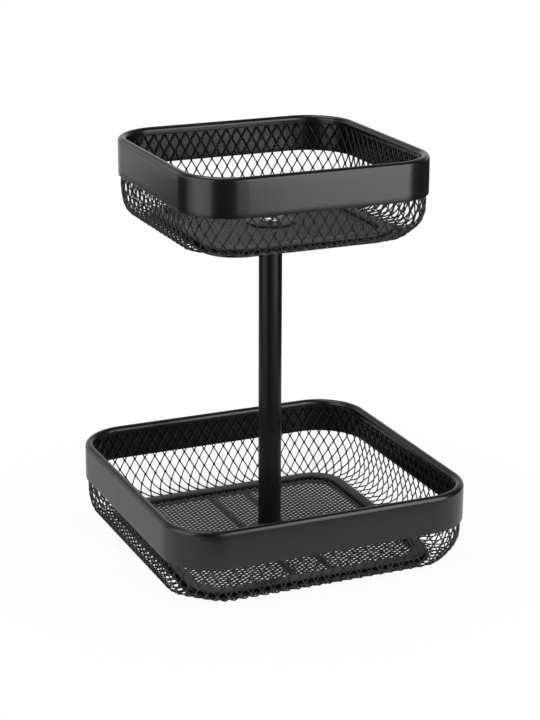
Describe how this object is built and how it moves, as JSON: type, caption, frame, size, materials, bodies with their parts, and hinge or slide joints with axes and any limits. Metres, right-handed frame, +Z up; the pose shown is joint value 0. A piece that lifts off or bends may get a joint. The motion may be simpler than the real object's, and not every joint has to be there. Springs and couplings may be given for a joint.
{
  "type": "two-tier storage rack",
  "caption": "Tiered storage rack: a wide and a smaller rounded-square basket of black expanded steel mesh, stacked on a round central post, for fruit or small kitchen goods.",
  "frame": {"origin": "on the table, under the axis of the post, at the centre of the lower basket's foot ring", "axes": "+Z up along the post; +X and +Y square to the baskets' sides, with the floor bars running along Y"},
  "size_m": [0.26, 0.26, 0.3355],
  "materials": {
    "band_black": "satin powder coat",
    "mesh_black": "satin powder coat on expanded steel",
    "post_black": "semi-gloss powder coat",
    "chrome": "bright chrome plating",
    "zinc": "bright zinc plating"
  },
  "bodies": {
    "stand": {"lower_rim_band": "band_black", "lower_wall_mesh": "mesh_black", "lower_clamp_ring": "band_black", "lower_foot_ring": "band_black", "lower_floor_mesh": "mesh_black", "lower_floor_bar_left": "band_black", "lower_floor_bar_right": "band_black", "lower_hub_plate": "band_black", "post_tube": "post_black", "post_bottom_plug": "zinc", "post_top_plug": "zinc", "base_bolt": "zinc", "top_stud": "zinc", "seat_washer": "zinc"},
    "upper_tier": {"upper_rim_band": "band_black", "upper_wall_mesh": "mesh_black", "upper_clamp_ring": "band_black", "upper_foot_ring": "band_black", "upper_floor_mesh": "mesh_black", "upper_floor_bar_left": "band_black", "upper_floor_bar_right": "band_black", "upper_hub_plate": "band_black", "nut_washer": "chrome"},
    "cap_nut": {"cap_nut": "chrome"}
  },
  "joints": [
    {"name": "upper_tier_swivel", "type": "hinge", "parent": "stand", "child": "upper_tier", "pos_m": [0, 0, 0.268], "axis": [0, 0, 1], "continuous": true},
    {"name": "cap_nut_turn", "type": "hinge", "parent": "stand", "child": "cap_nut", "pos_m": [0, 0, 0.2756], "axis": [0, 0, 1], "continuous": true}
  ]
}
